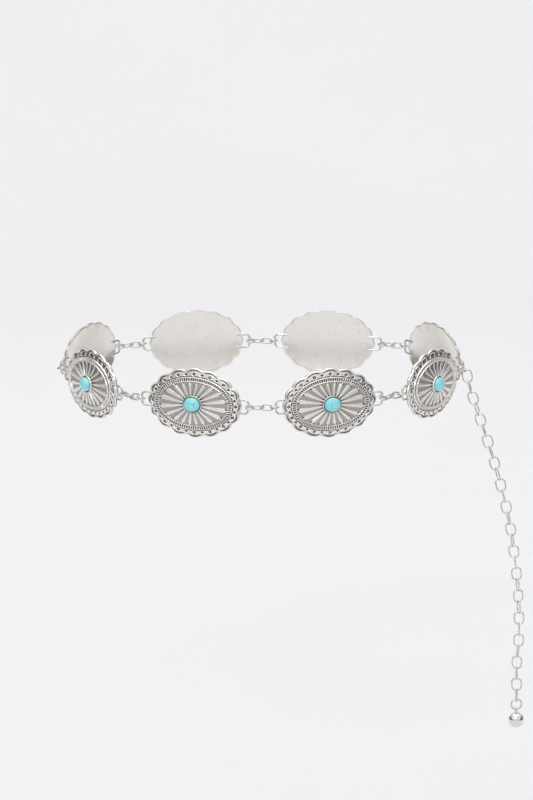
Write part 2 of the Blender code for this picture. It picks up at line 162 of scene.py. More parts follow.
BEND_STEPS = 14
CHAIN_ROUTE = (
    (0.0, 0.0, 0.0),
    (3.0, 0.0, 12.4),
    (7.6, -0.5, 25.9),
    (18.9, -1.5, 60.4),
    (27.7, -2.5, 94.7),
    (32.7, -3.0, 128.4),
    (34.4, -3.0, 150.0),
    (34.8, -3.0, 168.0),
    (33.6, -3.0, 187.0),
    (33.9, -3.0, 204.0),
)

CONCHO_COUNT = 8

# Studio in metres and watts
FLOOR_LEVEL = -0.30
SWEEP_HALF_WIDTH = 2.4
SWEEP_FRONT = -1.2
SWEEP_FLAT_END = 1.6
SWEEP_CORNER = 0.9
SWEEP_TOP = 4.0
# Name, place, target, size and power of each light
LIGHTS = (
    ("ceiling", (0.0, 0.4, 2.3), (0, 0.4, 0), 2.6, 23),
    ("front", (-0.55, -2.0, 1.5), (0, 0, 0), 0.55, 7.0),
    ("back", (0.0, 0.9, 1.9), (0, 2.5, 0.8), 1.2, 5.0),
    ("left", (-2.0, -0.9, 0.8), (0, 0, 0), 0.5, 1.6),
    ("right", (1.9, -1.1, 0.9), (0, 0, 0), 0.4, 1.0),
)


def add_camera():
    """The photograph's angle; the belt's centre lands on its pixel without any shift."""
    forward = Vector((0, math.cos(CAMERA_ELEVATION), -math.sin(CAMERA_ELEVATION)))
    above = Vector((0, math.sin(CAMERA_ELEVATION), math.cos(CAMERA_ELEVATION)))
    right_px = FRAME_WIDTH_PX / 2 - BELT_CENTRE_PX[0]
    down_px = FRAME_HEIGHT_PX / 2 - BELT_CENTRE_PX[1]
    target = (Vector((1, 0, 0)) * right_px - above * down_px) * METRES_PER_PX
    data = bpy.data.cameras.new("camera")
    data.sensor_width = SENSOR_WIDTH_MM
    data.lens = SENSOR_WIDTH_MM * CAMERA_DISTANCE / (FRAME_HEIGHT_PX * METRES_PER_PX)
    data.clip_start = 0.1
    camera = bpy.data.objects.new("camera", data)
    camera.location = target - forward * CAMERA_DISTANCE
    camera.rotation_euler = (math.pi / 2 - CAMERA_ELEVATION, 0, 0)
    bpy.context.scene.collection.objects.link(camera)
    bpy.context.scene.camera = camera


# Node helpers


def new_material(name):
    material = bpy.data.materials.new(name)
    material.use_nodes = True
    tree = material.node_tree
    return material, tree, tree.nodes["Principled BSDF"]


def add_node(tree, kind, inputs=(), **settings):
    node = tree.nodes.new(kind)
    for key, value in settings.items():
        setattr(node, key, value)
    for key, value in dict(inputs).items():
        if isinstance(value, bpy.types.NodeSocket):
            tree.links.new(value, node.inputs[key])
        else:
            node.inputs[key].default_value = value
    return node


def math_node(tree, operation, first, second=0.0, clamp=False):
    inputs = {0: first, 1: second}
    node = add_node(tree, "ShaderNodeMath", inputs, operation=operation, use_clamp=clamp)
    return node.outputs[0]


def remap(tree, value, low, high, to_low=0.0, to_high=1.0):
    inputs = {"Value": value, "From Min": low, "From Max": high, "To Min": to_low, "To Max": to_high}
    return add_node(tree, "ShaderNodeMapRange", inputs, clamp=True).outputs["Result"]


def noise(tree, vector, scale, detail=3.0, roughness=0.55):
    inputs = {"Vector": vector, "Scale": scale, "Detail": detail, "Roughness": roughness}
    return add_node(tree, "ShaderNodeTexNoise", inputs).outputs["Fac"]


def mix_colour(tree, factor, first, second):
    node = add_node(tree, "ShaderNodeMix", data_type="RGBA")
    for socket, value in zip((node.inputs[0], node.inputs[6], node.inputs[7]), (factor, first, second)):
        if isinstance(value, bpy.types.NodeSocket):
            tree.links.new(value, socket)
        else:
            socket.default_value = value
    return node.outputs[2]


def own_place(tree):
    """Object coordinates moved by the object's random number, so that copies differ."""
    place = add_node(tree, "ShaderNodeTexCoord").outputs["Object"]
    random = add_node(tree, "ShaderNodeObjectInfo").outputs["Random"]
    shift = math_node(tree, "MULTIPLY", random, 7.3)
    return add_node(tree, "ShaderNodeVectorMath", {0: place, 1: shift}, operation="ADD").outputs[0]


def bump(tree, height, strength, distance):
    inputs = {"Height": height, "Strength": strength, "Distance": distance}
    return add_node(tree, "ShaderNodeBump", inputs).outputs["Normal"]


def antique_silver():
    """Cast silver: bright where rubbed, dark oxide in hollows, greyer on the recessed field, with painted
    shade along the foot of the stone's bezel.
    """
    material, tree, shader = new_material("antique_silver")
    place = own_place(tree)
    wear_and_shade = add_node(tree, "ShaderNodeAttribute", attribute_name="wear_and_shade").outputs["Fac"]
    ground = add_node(tree, "ShaderNodeAttribute", attribute_name="ground").outputs["Fac"]
    cloud = noise(tree, place, 260.0, 4.0)
    grain = noise(tree, place, 2600.0, 3.0, 0.6)
    pits = noise(tree, place, 900.0, 5.0, 0.65)
    # The wear attribute also carries painted shade along the bezel's foot, so the dark oxide share below
    # holds that painted shade too.
    worn_and_shaded = math_node(tree, "ADD", wear_and_shade, remap(tree, cloud, 0.3, 0.7, -0.10, 0.10))
    hollow = remap(tree, worn_and_shaded, -0.06, -0.62, 0.0, 1.0)
    field = math_node(tree, "MULTIPLY", ground, remap(tree, pits, 0.25, 0.75, 0.42, 0.58))
    oxide_and_shade = math_node(tree, "MAXIMUM", hollow, field, clamp=True)
    tarnish_and_shade = math_node(tree, "MAXIMUM", oxide_and_shade, remap(tree, cloud, 0.55, 0.85, 0.0, 0.16), clamp=True)
    colour = mix_colour(tree, tarnish_and_shade, (0.85, 0.825, 0.79, 1), (0.046, 0.040, 0.034, 1))
    tree.links.new(colour, shader.inputs["Base Color"])
    rough = math_node(tree, "ADD", remap(tree, oxide_and_shade, 0.0, 1.0, 0.20, 0.52),
                      remap(tree, grain, 0.3, 0.7, -0.04, 0.08))
    tree.links.new(rough, shader.inputs["Roughness"])
    shader.inputs["Metallic"].default_value = 1.0
    relief = math_node(tree, "ADD", math_node(tree, "MULTIPLY", pits, 0.7),
                       math_node(tree, "MULTIPLY", grain, 0.3))
    tree.links.new(bump(tree, relief, 0.22, 0.00022), shader.inputs["Normal"])
    return material


def bright_silver():
    """Polished plating with faint tarnish and fine handling marks."""
    material, tree, shader = new_material("bright_silver")
    place = own_place(tree)
    cloud = noise(tree, place, 320.0, 3.0)
    grain = noise(tree, place, 3200.0, 2.0)
    colour = mix_colour(tree, remap(tree, cloud, 0.45, 0.85, 0.0, 0.45),
                        (0.66, 0.65, 0.63, 1), (0.36, 0.35, 0.33, 1))
    tree.links.new(colour, shader.inputs["Base Color"])
    tree.links.new(remap(tree, grain, 0.3, 0.7, 0.12, 0.22), shader.inputs["Roughness"])
    shader.inputs["Metallic"].default_value = 1.0
    tree.links.new(bump(tree, grain, 0.08, 0.0001), shader.inputs["Normal"])
    return material


def polished_ball():
    """Mirror-bright plating, with only faint waves and marks."""
    material, tree, shader = new_material("polished_silver")
    place = own_place(tree)
    cloud = noise(tree, place, 380.0, 2.0)
    colour = mix_colour(tree, remap(tree, cloud, 0.4, 0.8, 0.0, 0.3),
                        (0.80, 0.79, 0.77, 1), (0.60, 0.59, 0.57, 1))
    tree.links.new(colour, shader.inputs["Base Color"])
    tree.links.new(remap(tree, cloud, 0.3, 0.7, 0.06, 0.12), shader.inputs["Roughness"])
    shader.inputs["Metallic"].default_value = 1.0
    tree.links.new(bump(tree, cloud, 0.05, 0.0002), shader.inputs["Normal"])
    return material


def turquoise():
    """Polished turquoise: cloudy blue to green with a few thin dark veins."""
    material, tree, shader = new_material("turquoise")
    place = own_place(tree)
    cloud = noise(tree, place, 170.0, 3.0)
    patch = noise(tree, place, 420.0, 4.0)
    bent = add_node(tree, "ShaderNodeVectorMath", {0: place, 1: math_node(tree, "MULTIPLY", patch, 0.0022)},
                    operation="ADD").outputs[0]
    edge = add_node(tree, "ShaderNodeTexVoronoi", {"Vector": bent, "Scale": 165.0},
                    feature="DISTANCE_TO_EDGE").outputs["Distance"]
    vein_here = remap(tree, cloud, 0.44, 0.56)
    vein = math_node(tree, "MULTIPLY", remap(tree, edge, 0.0, 0.05, 1.0, 0.0), vein_here)
    blue = mix_colour(tree, remap(tree, cloud, 0.3, 0.7), (0.21, 0.70, 0.77, 1), (0.33, 0.79, 0.82, 1))
    stone = mix_colour(tree, remap(tree, patch, 0.50, 0.75), blue, (0.33, 0.80, 0.75, 1))
    colour = mix_colour(tree, math_node(tree, "MULTIPLY", vein, 0.8), stone, (0.12, 0.22, 0.20, 1))
    tree.links.new(colour, shader.inputs["Base Color"])
    tree.links.new(remap(tree, vein, 0.0, 1.0, 0.16, 0.4), shader.inputs["Roughness"])
    shader.inputs["Coat Weight"].default_value = 0.8
    shader.inputs["Coat Roughness"].default_value = 0.12
    tree.links.new(bump(tree, math_node(tree, "SUBTRACT", 1.0, vein), 0.3, 0.00012),
                   shader.inputs["Normal"])
    return material


def studio_paper():
    material, tree, shader = new_material("studio_paper")
    place = add_node(tree, "ShaderNodeTexCoord").outputs["Object"]
    cloud = noise(tree, place, 3.0, 2.0)
    colour = mix_colour(tree, cloud, (0.770, 0.768, 0.777, 1), (0.798, 0.796, 0.805, 1))
    tree.links.new(colour, shader.inputs["Base Color"])
    shader.inputs["Roughness"].default_value = 0.9
    return material


# Mesh helpers


def new_mesh(name, points, faces, material, sharp=None):
    """A smooth mesh, with sharp edges kept past an angle in degrees where one is given."""
    mesh = bpy.data.meshes.new(name)
    mesh.from_pydata([tuple(point) for point in points], [], faces)
    mesh.shade_smooth()
    if sharp is not None:
        mesh.set_sharp_from_angle(angle=math.radians(sharp))
    mesh.materials.append(material)
    return mesh


def mesh_object(name, points, faces, material, matrix=Matrix.Identity(4), sharp=50):
    return placed(name, new_mesh(name, points, faces, material, sharp), matrix)


def placed(name, mesh, matrix):
    piece = bpy.data.objects.new(name, mesh)
    piece.matrix_world = matrix
    bpy.context.scene.collection.objects.link(piece)
    return piece


def tube(points, wire, normal, closed=True, sides=WIRE_SIDES):
    """Points and faces of a round wire along a path, in the path's units."""
    path = [Vector(point) for point in points]
    count = len(path)
    verts = []
    faces = []
    for i, point in enumerate(path):
        before = path[i - 1] if closed or i else point
        after = path[(i + 1) % count] if closed or i < count - 1 else point
        tangent = (after - before).normalized()
        across = tangent.cross(normal).normalized()
        rise = across.cross(tangent)
        for j in range(sides):
            angle = FULL_TURN * j / sides
            verts.append(point + (across * math.cos(angle) + rise * math.sin(angle)) * wire / 2)
    for i in range(count if closed else count - 1):
        a = i * sides
        b = (i + 1) % count * sides
        for j in range(sides):
            k = (j + 1) % sides
            faces.append((a + j, b + j, b + k, a + k))
    if not closed:
        faces.append(tuple(range(sides)))
        faces.append(tuple(range(len(verts) - 1, len(verts) - 1 - sides, -1)))
    return verts, faces


def joined(parts):
    """Several (points, faces) as one, each keeping its own faces."""
    verts = []
    faces = []
    for some_verts, some_faces in parts:
        start = len(verts)
        verts.extend(some_verts)
        faces.extend(tuple(index + start for index in face) for face in some_faces)
    return verts, faces


def scaled(parts):
    """Points and faces taken from millimetres to metres."""
    verts, faces = parts
    return [Vector(point) * MM for point in verts], faces


def moved(parts, matrix):
    verts, faces = parts
    return [matrix @ Vector(point) for point in verts], faces


def stadium(length, width):
    """A link's middle line from x = 0 to x = length, in the XY plane."""
    bend = width / 2
    points = []
    for centre_x, start in ((length - bend, -math.pi / 2), (bend, math.pi / 2)):
        for k in range(BEND_STEPS + 1):
            angle = start + math.pi * k / BEND_STEPS
            points.append(Vector((centre_x + bend * math.cos(angle), bend * math.sin(angle), 0)))
    return points


def circle(diameter, centre_x):
    steps = 2 * BEND_STEPS + 4
    points = []
    for k in range(steps):
        angle = FULL_TURN * k / steps
        points.append(Vector((centre_x + math.cos(angle) * diameter / 2, math.sin(angle) * diameter / 2, 0)))
    return points


# Where the conchos are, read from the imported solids


def node_points(name):
    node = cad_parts[name]
    flat = np.empty(len(node.data.vertices) * 3)
    node.data.vertices.foreach_get("co", flat)
    world = np.array(node.matrix_world)
    return flat.reshape(-1, 3) @ world[:3, :3].T + world[:3, 3]


class ConchoSeat:
    """A concho's own frame and size. +X along the belt, -Y outward, the plate's back at y = 0."""

    def __init__(self, number):
        points = np.unique(np.round(node_points(f"concho_{number}"), 7), axis=0)
        stone = node_points(f"stone_{number}")
        flat = points[:, :2] - points[:, :2].mean(axis=0)
        spread, axes = np.linalg.eigh(flat.T @ flat)
        out = axes[:, np.argmin(spread)]
        if out @ (stone[:, :2].mean(axis=0) - points[:, :2].mean(axis=0)) < 0:
            out = -out
        along = np.array((-out[1], out[0]))
        x = points[:, :2] @ along
        height = points[:, :2] @ out
        z = points[:, 2]
        self.half_height = z.max()
        level = height[z > 0.985 * self.half_height].min()
        plate = height > level + (EDGE_THICKNESS - 0.2) * MM
        middle = (x.max() + x.min()) / 2
        self.half_length = np.abs(x[plate] - middle).max()
        origin = along * middle + out * level
        self.matrix = Matrix((
            (along[0], -out[0], 0, origin[0]),
            (along[1], -out[1], 0, origin[1]),
            (0, 0, 1, 0),
            (0, 0, 0, 1),
        ))

    def bar(self, side):
        """The middle of the wire loop's bar; side 1 is the concho's +X end."""
        reach = self.half_length + (END_LOOP_REACH - END_LOOP_WIRE / 2) * MM
        return self.matrix @ Vector((side * reach, -END_LOOP_LEVEL * MM, 0))


# Concho surface, worked out in millimetres


class Relief:
    """Heights of the concho's front over its oval coordinates: inset r and angle t."""

    def __init__(self, half_length, half_height):
        self.a = half_length
        self.b = half_height
        self.bezel_length = SEAT_HALF_LENGTH + BEZEL_WALL
        self.bezel_inset = half_height - SEAT_HALF_HEIGHT - BEZEL_WALL
        self.seat_level = self.plate(self.bezel_inset)
        middle = (BAND_OUTER_INSET + BAND_INNER_INSET) / 2
        self.turns, self.shares = arc_shares(self.a - middle, self.b - middle)
        end_inset = BAND_INNER_INSET + RAY_END_GAP
        end_length, end_height = self.a - end_inset, self.b - end_inset
        turns, shares = arc_shares(end_length, end_height)
        angles = np.unwrap(np.arctan2(end_height * np.sin(turns), end_length * np.cos(turns)))
        fan = (shares + angles / FULL_TURN) / 2
        self.ray_turns = np.interp((np.arange(RAYS) + 0.5) / RAYS, fan, turns)[:, None]
        self.ray_end_x = end_length * np.cos(self.ray_turns)
        self.ray_end_z = end_height * np.sin(self.ray_turns)
        bezel_height = self.b - self.bezel_inset
        share = 1 / np.hypot(self.ray_end_x / self.bezel_length, self.ray_end_z / bezel_height)
        self.ray_start_x = self.ray_end_x * share
        self.ray_start_z = self.ray_end_z * share

    def plate(self, r):
        share = np.clip(r / self.b, 0, 1)
        return EDGE_THICKNESS + PLATE_RISE * np.sin(share * math.pi / 2)

    def lobe_inset(self, t):
        return LOBE_DEPTH * (1 - np.abs(np.cos(LOBES / 2 * t)))

    def semi_axes(self, r):
        field = np.clip((r - FIELD_INSET) / (self.bezel_inset - FIELD_INSET), 0, 1)
        edge = self.a - np.minimum(r, FIELD_INSET)
        beyond = np.maximum(r - self.bezel_inset, 0)
        return edge * (1 - field) + self.bezel_length * field - beyond, self.b - r

    def place(self, r, t):
        """x and z of a point, with the outline's scallops fading inward."""
        long, high = self.semi_axes(r)
        inset = self.lobe_inset(t) * np.clip(1 - r / LOBE_FADE, 0, 1)
        return (long - inset) * np.cos(t), (high - inset) * np.sin(t)

    def arc(self, r, t, angle):
        """Length along the oval of a small angle."""
        long, high = self.semi_axes(r)
        return angle * np.hypot(long * np.sin(t), high * np.cos(t))

    def lobe_zone(self, r, t):
        pitch = FULL_TURN / LOBES
        from_lobe = t - np.round(t / pitch) * pitch
        from_notch = (t - pitch / 2) - np.round((t - pitch / 2) / pitch) * pitch
        share = from_lobe / (pitch / 2)
        bead = RIM_BEAD_HEIGHT * np.exp(-((r - RIM_BEAD_INSET) / RIM_BEAD_WIDTH) ** 2)
        line = CRESCENT_INSET + CRESCENT_SAG * share**2
        half = CRESCENT_HALF_WIDTH * np.sqrt(np.clip(1 - (share / CRESCENT_REACH) ** 2, 0, 1))
        inside = np.clip(1 - np.abs(r - line) / np.maximum(half, 0.01), 0, 1)
        across = self.arc(r, t, from_lobe)
        strand = across / CRESCENT_ROPE + (r - line) / CRESCENT_ROPE_SLANT * 0.5
        rope = smooth(0.35 + 0.75 * np.cos(FULL_TURN * strand))
        crescent = CRESCENT_DEPTH * smooth(inside * 2.2) * (1 - CRESCENT_STRAND * rope)
        dot = np.hypot(r - DOT_INSET, self.arc(r, t, from_notch))
        hole = DOT_DEPTH * smooth(PIT_EDGE - dot / DOT_RADIUS)
        ring = np.hypot(r - DOT_INSET, across)
        dimple = DOT_DEPTH * smooth(PIT_EDGE - ring / DIMPLE_RADIUS)
        pip = DIMPLE_PIP_HEIGHT * np.exp(-((ring / DIMPLE_PIP_RADIUS) ** 2))
        lip = DIMPLE_LIP_HEIGHT * np.exp(-(((ring - DIMPLE_LIP_RADIUS) / DIMPLE_LIP_WIDTH) ** 2))
        groove = GROOVE_DEPTH * np.exp(-(((r - GROOVE_INSET) / GROOVE_WIDTH) ** 2))
        return bead + lip + pip - crescent - hole - dimple - groove

    def band_zone(self, r, t):
        outer = ridge(r - BAND_OUTER_INSET)
        inner = ridge(r - BAND_INNER_INSET)
        share = np.interp(np.mod(t, FULL_TURN), self.turns, self.shares)
        wave = np.cos(FULL_TURN * BEAD_COUNT * share)
        width = (BAND_INNER_INSET - BAND_OUTER_INSET) / 2 - BAND_FOOT
        middle = (BAND_INNER_INSET + BAND_OUTER_INSET) / 2
        within = smooth((width - np.abs(r - middle)) / BEAD_EDGE + 0.5)
        valley = -BAND_VALLEY * within
        return outer + inner + valley + BEAD_HEIGHT * within * smooth(0.5 + wave * 1.1)

    def ray_zone(self, r, t):
        """Raised club-shaped rays: narrow at the bezel, hollowed and wide at their outer ends."""
        x, z = self.place(r, t)
        along_x = self.ray_end_x - self.ray_start_x
        along_z = self.ray_end_z - self.ray_start_z
        length = np.hypot(along_x, along_z)
        along = ((x - self.ray_start_x) * along_x + (z - self.ray_start_z) * along_z) / length
        aside = np.abs((x - self.ray_start_x) * along_z - (z - self.ray_start_z) * along_x) / length
        lengthwise = np.abs(np.cos(self.ray_turns))
        end_half = RAY_END_HALF_WIDTH + RAY_END_WIDENING * lengthwise
        start_half = RAY_START_HALF_WIDTH + RAY_START_WIDENING * lengthwise
        share = np.clip(along / length, 0, 1)
        half = start_half + (end_half - start_half) * share
        corner = np.minimum(RAY_CORNER, half)
        over_side = aside - half + corner
        over_end = along - length + corner
        outside = np.hypot(np.maximum(over_side, 0), np.maximum(over_end, 0))
        inside = corner - outside - np.minimum(np.maximum(over_side, over_end), 0)
        raised = smooth(inside / RAY_SHOULDER)
        hollow = RAY_HOLLOW * smooth((inside - 0.25) / (half * 0.9)) * smooth(share * 1.4)
        return (RAY_HEIGHT * raised - hollow).max(axis=0), raised.max(axis=0)

    def height(self, r, t):
        """Height of the front at inset r and angle t, out to the bezel."""
        level = self.plate(r)
        level = level + self.lobe_zone(r, t) * (r < BAND_OUTER_INSET)
        level = level + self.band_zone(r, t) * (r > GROOVE_INSET) * (r < FIELD_INSET + 0.6)
        rays, _ = self.ray_zone(r, t)
        return level + (rays - FIELD_DROP) * self.field_share(r)

    def field_share(self, r):
        """0 outside the field, rising to 1 just inside the band."""
        return smooth((r - FIELD_INSET + FIELD_LEAD) / FIELD_FADE)

    def ground(self, r, t):
        """1 on the recessed field between the rays, 0 elsewhere."""
        _, raised = self.ray_zone(r, t)
        return self.field_share(r) * smooth((self.bezel_inset - r) / 0.2 + 0.5) * (1 - raised)

    def wear_and_shade(self, r, t):
        """Above 0 where the front stands out and is rubbed bright, below 0 in hollows for oxide, and lowered
        further along the bezel's foot as painted shade.
        """
        here = self.height(r, t)
        around = []
        for reach in WEAR_REACHES:
            turn = reach / np.maximum(self.arc(r, t, 1.0), 1.0)
            inward = np.minimum(r + reach, self.bezel_inset)
            outward = np.maximum(r - reach, 0.45)
            around += [self.height(inward, t), self.height(outward, t)]
            around += [self.height(r, t + turn), self.height(r, t - turn)]
        # Painted shade: a dark line along the foot of the bezel, taken off the wear value.
        foot_shade = BEZEL_FOOT_SHADE * np.exp(-np.maximum(self.bezel_inset - r, 0) / BEZEL_FOOT_SHADE_WIDTH)
        strength = WEAR_STRENGTH - WEAR_FIELD_LOSS * smooth((r - BAND_INNER_INSET - 0.1) / 0.4)
        return (here - sum(around) / len(around)) * strength - foot_shade


def arc_shares(half_length, half_height):
    """Angles round an oval, and the share of its length travelled at each."""
    turns = np.linspace(0, FULL_TURN, 2881)
    speed = np.hypot(half_length * np.sin(turns), half_height * np.cos(turns))
    length = np.concatenate(([0], np.cumsum((speed[1:] + speed[:-1]) / 2)))
    return turns, length / length[-1]


def smooth(value):
    value = np.clip(value, 0, 1)
    return value * value * (3 - 2 * value)


def ridge(distance):
    return BAND_RIDGE_HEIGHT * np.cos(np.clip(distance / BAND_RIDGE_WIDTH, -1, 1) * math.pi / 2) ** 2


def front_insets(bezel_inset):
    """Insets of the rings from the edge to the bezel, closest where the relief is finest."""
    lobes = np.arange(0.40, 4.70, 0.145)
    band = np.arange(4.75, 8.75, 0.125)
    field = np.linspace(8.95, bezel_inset - 0.02, 34)
    return lobes, band, field


def concho_mesh(seat, material):
    """The whole concho as one closed mesh: fine front, bezel cup and smooth dished back."""
    relief = Relief(seat.half_length / MM, seat.half_height / MM)
    bezel = relief.bezel_inset
    top = relief.seat_level + BEZEL_RISE
    rings = []

    def add(inset, steps, level=None, wear_and_shade=0.0):
        t = FULL_TURN * np.arange(steps) / steps
        r = np.full(steps, float(inset))
        x, z = relief.place(r, t)
        if level is None:
            rings.append((x, relief.height(r, t), z, relief.wear_and_shade(r, t), relief.ground(r, t)))
        else:
            flat = np.full(steps, float(level))
            rings.append((x, flat, z, np.full(steps, float(wear_and_shade)), np.zeros(steps)))

    for inset in BACK_INSETS:
        add(inset, PLAIN_STEPS // 4, relief.plate(inset) - PLATE_WALL)
    add(1.2, PLAIN_STEPS // 2, 0.08)
    for inset, level, wear_and_shade in EDGE_RINGS:
        add(inset, PLAIN_STEPS, level, wear_and_shade)
    lobes, band, field = front_insets(bezel)
    for inset in lobes:
        add(inset, PLAIN_STEPS)
    for inset in band:
        add(inset, FINE_STEPS)
    for inset in field:
        add(inset, PLAIN_STEPS)
    wall = BEZEL_WALL
    for inset, level, wear_and_shade in (
        (bezel + 0.02, relief.seat_level + 0.35, -0.3),
        (bezel + wall * 0.10, top - 0.42, 0.1),
        (bezel + wall * 0.25, top - 0.12, 0.4),
        (bezel + wall * 0.42, top, 0.5),
        (bezel + wall * 0.60, top - 0.08, 0.4),
        (bezel + wall * 0.72, top - 0.34, -0.2),
        (bezel + wall * 0.78, relief.seat_level + 0.25, -1.0),
        (bezel + wall, relief.seat_level, -1.0),
    ):
        add(inset, PLAIN_STEPS // 2, level, wear_and_shade)
    add(bezel + wall + 2.5, PLAIN_STEPS // 4, relief.seat_level, -1.0)

    counts = [len(ring[0]) for ring in rings]
    starts = np.concatenate(([0], np.cumsum(counts)))
    x, height, z, wear_and_shade, ground = (np.concatenate([ring[k] for ring in rings]) for k in range(5))
    back_middle = (0, PLATE_WALL - relief.plate(relief.b), 0)
    seat_middle = (0, -relief.seat_level, 0)
    points = np.vstack((np.stack((x, -height, z), axis=1), [back_middle], [seat_middle])) * MM
    faces = []
    for k in range(len(rings) - 1):
        faces.extend(band_faces(starts[k], counts[k], starts[k + 1], counts[k + 1]))
    faces.extend(fan_faces(starts[0], counts[0], len(points) - 2, True))
    faces.extend(fan_faces(starts[len(rings) - 1], counts[-1], len(points) - 1, False))
    mesh = new_mesh("concho_looks", points.tolist(), faces, material)
    for name, values, ends in (("wear_and_shade", wear_and_shade, (0.0, -1.0)), ("ground", ground, (0.0, 0.0))):
        layer = mesh.attributes.new(name, "FLOAT", "POINT")
        layer.data.foreach_set("value", np.concatenate((values, ends)))
    return mesh


def band_faces(start, count, next_start, next_count):
    """Faces between two rings, where one may have a whole number of times more points."""
    faces = []
    if count == next_count:
        for j in range(count):
            k = (j + 1) % count
            faces.append((start + j, start + k, next_start + k, next_start + j))
    elif count < next_count:
        times = next_count // count
        for j in range(count):
            k = (j + 1) % count
            half = times // 2
            for m in range(times):
                corner = start + (j if m < half else k)
                first = next_start + j * times + m
                second = next_start + (j * times + m + 1) % next_count
                faces.append((corner, second, first))
            middle = next_start + j * times + half
            faces.append((start + j, start + k, middle))
    else:
        turned = band_faces(next_start, next_count, start, count)
        faces = [face[::-1] for face in turned]
    return faces


def fan_faces(start, count, middle, flipped):
    faces = []
    for j in range(count):
        k = (j + 1) % count
        face = (start + j, start + k, middle)
        faces.append(face[::-1] if flipped else face)
    return faces


def stone_mesh(relief, material):
    """An oval cabochon with a soft girdle and a full dome."""
    base = relief.seat_level + STONE_LIFT
    profile = [(0.93, 0.0), (1.0, 0.12), (1.0, STONE_GIRDLE * 0.6)]
    for k in range(1, 15):
        angle = math.pi / 2 * k / 15
        profile.append((math.cos(angle) ** 0.92, STONE_GIRDLE * 0.6
                        + (STONE_DOME + STONE_GIRDLE * 0.4) * math.sin(angle)))
    points = []
    faces = []
    for share, rise in profile:
        for j in range(STONE_STEPS):
            angle = FULL_TURN * j / STONE_STEPS
            points.append(Vector((STONE_HALF_LENGTH * share * math.cos(angle), -base - rise,
                                  STONE_HALF_HEIGHT * share * math.sin(angle))) * MM)
    for k in range(len(profile) - 1):
        faces.extend(band_faces(k * STONE_STEPS, STONE_STEPS, (k + 1) * STONE_STEPS, STONE_STEPS))
    points.append(Vector((0, -base, 0)) * MM)
    points.append(Vector((0, -base - STONE_GIRDLE - STONE_DOME, 0)) * MM)
    faces.extend(fan_faces(0, STONE_STEPS, len(points) - 2, True))
    faces.extend(fan_faces((len(profile) - 1) * STONE_STEPS, STONE_STEPS, len(points) - 1, False))
    return new_mesh("stone_looks", points, faces, material)


def end_loops_mesh(seat, material):
    """Both soldered wire loops of one concho."""
    half_length = seat.half_length / MM
    bar = half_length + END_LOOP_REACH - END_LOOP_WIRE / 2
    half = (END_LOOP_HEIGHT - END_LOOP_WIRE) / 2
    corner = half * 0.62
    parts = []
    for side in (1, -1):
        path = [(half_length - END_LOOP_SEAT, half), (bar - corner * 1.5, half)]
        for k in range(1, 13):
            angle = math.pi / 2 * (1 - k / 13)
            path.append((bar - corner + corner * math.cos(angle), half - corner + corner * math.sin(angle)))
        upper = [Vector((side * x, -END_LOOP_LEVEL, z)) for x, z in path]
        lower = [Vector((side * x, -END_LOOP_LEVEL, -z)) for x, z in reversed(path)]
        parts.append(tube(upper + lower, END_LOOP_WIRE, Vector((0, 1, 0)), closed=False))
    verts, faces = scaled(joined(parts))
    return new_mesh("end_loops_looks", verts, faces, material, sharp=50)


def wire_mesh(name, path, wire, material):
    verts, faces = scaled(tube(path, wire, UP))
    return new_mesh(name, verts, faces, material)


# Wire pieces between the conchos


def held_gap(wire_a, wire_b):
    """Distance between the middles of two wires that hold each other."""
    return wire_a / 2 + wire_b / 2 + CLEARANCE


def along_way(start, way, distance, roll):
    """A piece's frame whose +X runs along the way, its near end this many mm from start."""
    yaw = math.atan2(way.y, way.x)
    turn = Matrix.Rotation(yaw, 4, "Z") @ Matrix.Rotation(roll, 4, "X")
    return Matrix.Translation(start + way * distance * MM) @ turn


def hook_path(length):
    """An eye, a straight shank and a round bend whose point turns back."""
    eye = (HOOK_EYE_INNER + HOOK_WIRE) / 2
    bend = (HOOK_BEND_INNER + HOOK_WIRE) / 2
    gap_angle = 2 * math.asin((HOOK_WIRE + CLEARANCE) / 2 / eye)
    path = []
    for k in range(33):
        angle = -math.pi / 2 + gap_angle + (FULL_TURN - gap_angle) * k / 32
        path.append(Vector((eye + eye * math.cos(angle), eye * math.sin(angle), 0)))
    centre = Vector((length - bend, bend - eye, 0))
    for k in range(1, 8):
        path.append(path[32].lerp(centre - Vector((0, bend, 0)), k / 8))
    for k in range(25):
        angle = -math.pi / 2 + math.pi * k / 24
        path.append(centre + Vector((math.cos(angle), math.sin(angle), 0)) * bend)
    last = path[-1]
    for k in range(1, 9):
        share = k / 8
        path.append(last + Vector((-HOOK_POINT * share, HOOK_POINT * 0.35 * share**2, 0)))
    return path


def smooth_route(points, steps=24):
    """A Catmull-Rom curve through the points, as many short straight runs."""
    curve = []
    padded = [points[0] * 2 - points[1], *points, points[-1] * 2 - points[-2]]
    for a, b, c, d in zip(padded, padded[1:], padded[2:], padded[3:]):
        for k in range(steps):
            t = k / steps
            bend = (2 * b + (c - a) * t + (2 * a - 5 * b + 4 * c - d) * t**2
                    + (3 * b - a - 3 * c + d) * t**3)
            curve.append(bend / 2)
    curve.append(points[-1])
    return curve


def walk(curve, pitch, count):
    """Points a straight pitch apart along a curve, and on in its last direction."""
    points = [curve[0]]
    index = 1
    while len(points) < count:
        last = points[-1]
        while index < len(curve) and (curve[index] - last).length < pitch:
            index += 1
        if index == len(curve):
            ahead = Vector((0, 0, -1))
        else:
            ahead = (curve[index] - last).normalized()
        points.append(last + ahead * pitch)
    return points


def hanging_frame(near, direction, roll):
    """A link's frame: +X down its length, its flat side turned by roll from the front."""
    side = direction.cross(Vector((0, -1, 0))).normalized()
    face = side.cross(direction).normalized()
    axes = Matrix((direction, side, -face)).transposed().to_4x4()
    return Matrix.Translation(near) @ axes @ Matrix.Rotation(roll, 4, "X")


